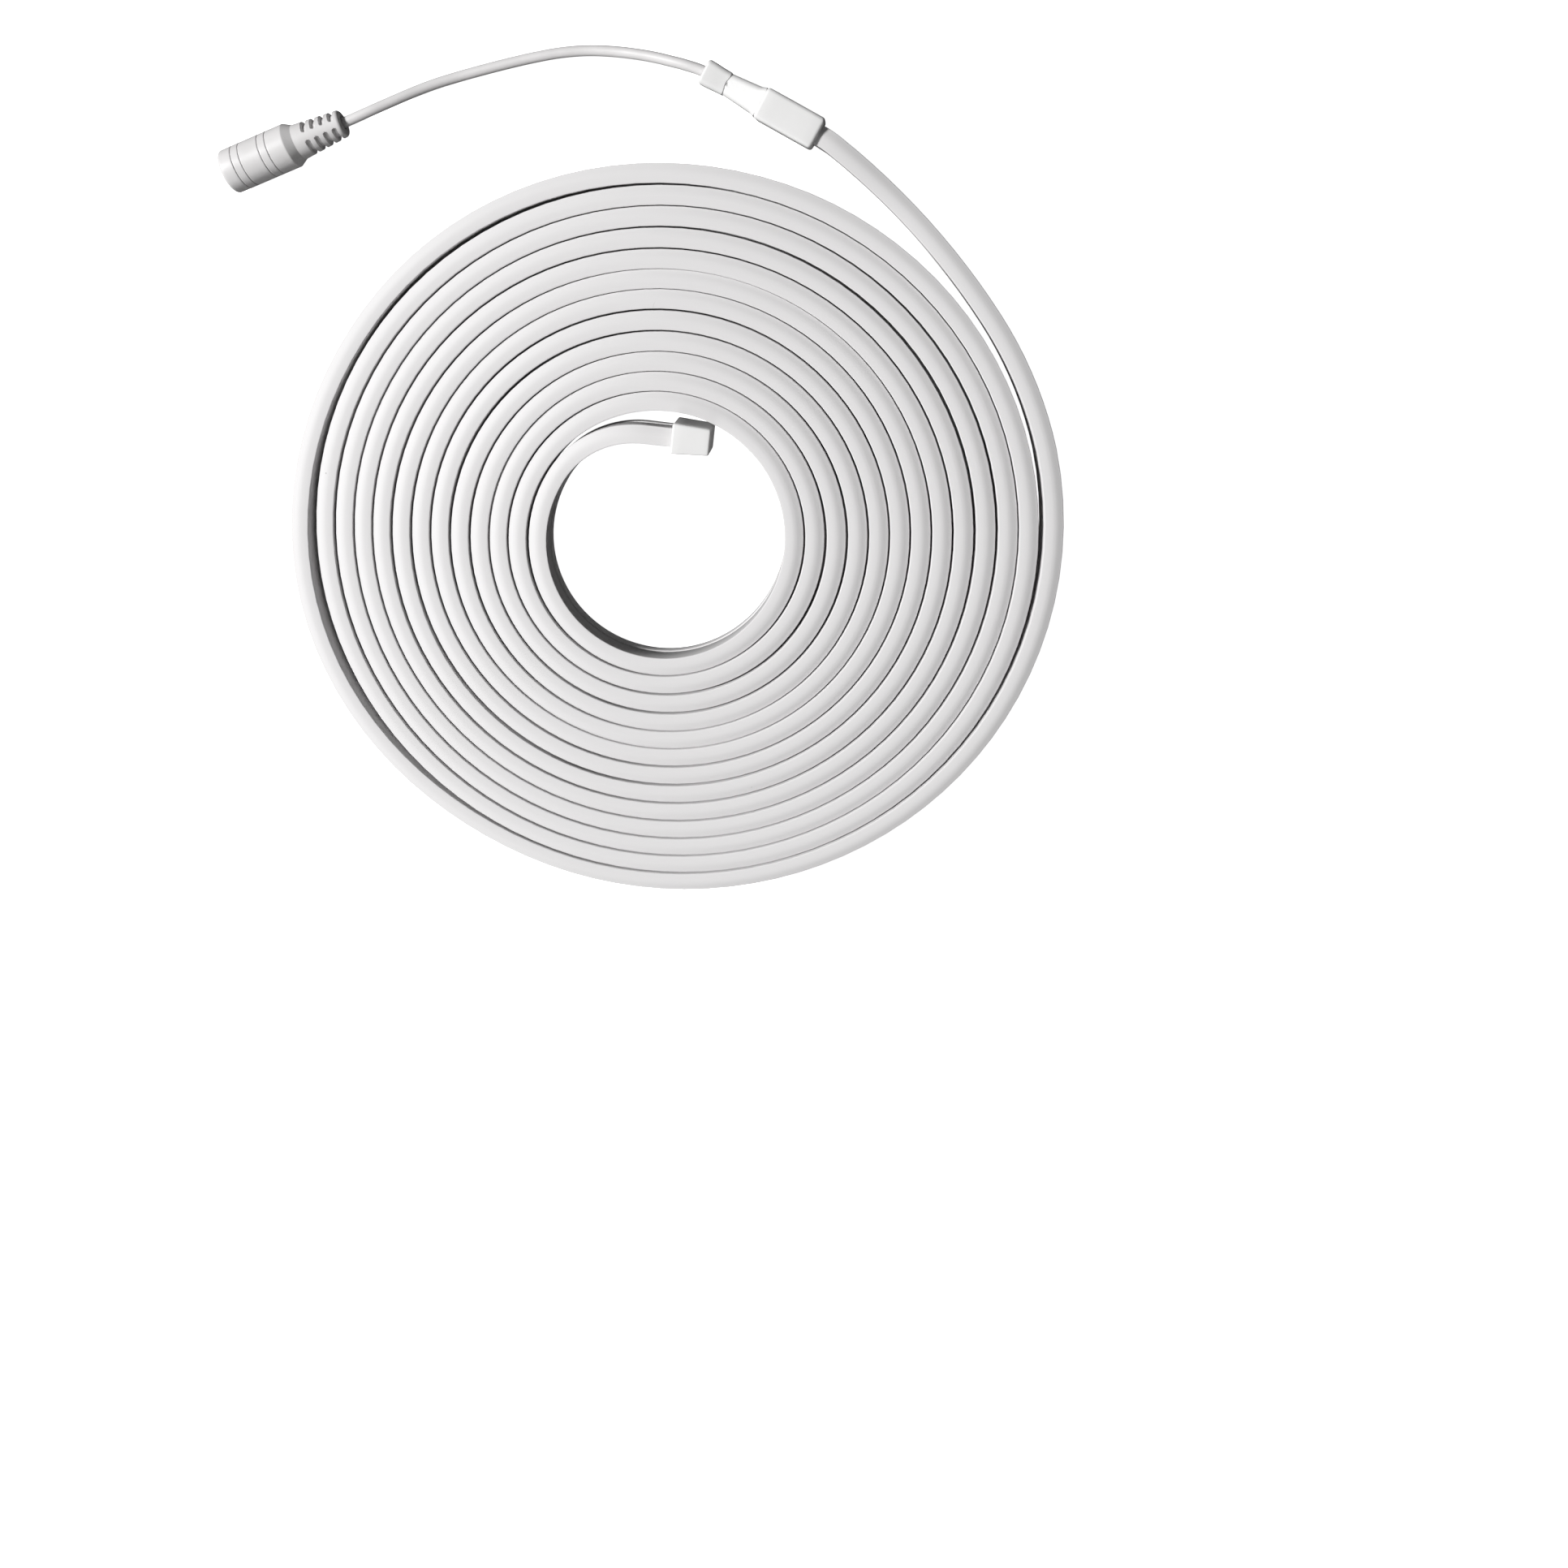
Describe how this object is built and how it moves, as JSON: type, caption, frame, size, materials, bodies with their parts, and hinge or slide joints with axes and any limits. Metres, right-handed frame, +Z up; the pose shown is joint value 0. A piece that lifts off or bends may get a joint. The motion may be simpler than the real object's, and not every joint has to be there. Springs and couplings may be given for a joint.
{
  "type": "led neon flex coil",
  "caption": "Slim dome-topped silicone LED neon flex wound flat in a spiral, with an end cap, a feed cap, a short lead and a round DC socket.",
  "frame": {"origin": "on the surface that the coil lies on, under the middle of the box round the flex and its two caps", "axes": "+Z up along the axis of the coil, +Y from the middle of the coil towards the feed cap's side, +X to the right of the picture"},
  "size_m": [0.1993, 0.2046, 0.0124],
  "materials": {
    "milky_silicone": "satin translucent",
    "white_moulding": "satin",
    "white_jacket": "satin",
    "plated_metal": "bright plated"
  },
  "bodies": {
    "root": {"neon_flex": "milky_silicone", "end_cap": "white_moulding", "feed_cap": "white_moulding", "power_lead": "white_jacket", "dc_socket": "white_jacket", "contact_pin": "plated_metal"}
  },
  "joints": []
}
